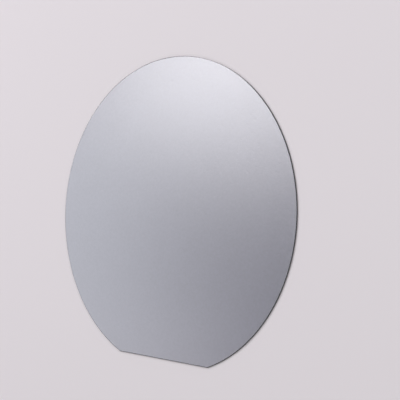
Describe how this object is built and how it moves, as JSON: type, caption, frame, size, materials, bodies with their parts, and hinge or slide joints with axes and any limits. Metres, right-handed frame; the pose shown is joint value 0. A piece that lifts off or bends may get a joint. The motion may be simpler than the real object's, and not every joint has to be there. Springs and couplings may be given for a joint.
{
  "type": "silicon carbide wafer",
  "caption": "Thin round silicon carbide wafer with a straight flat and a bevelled rim, ground to a satin bluish grey on both faces.",
  "frame": {"origin": "centre of the round on the back face, which lies on the ground", "axes": "+Z is the front face's normal, the straight flat faces -Y, and +X runs along the flat"},
  "size_m": [0.15, 0.1443, 0.0007],
  "materials": {
    "silicon_carbide": "satin"
  },
  "bodies": {
    "root": {"wafer": "silicon_carbide"}
  },
  "joints": []
}
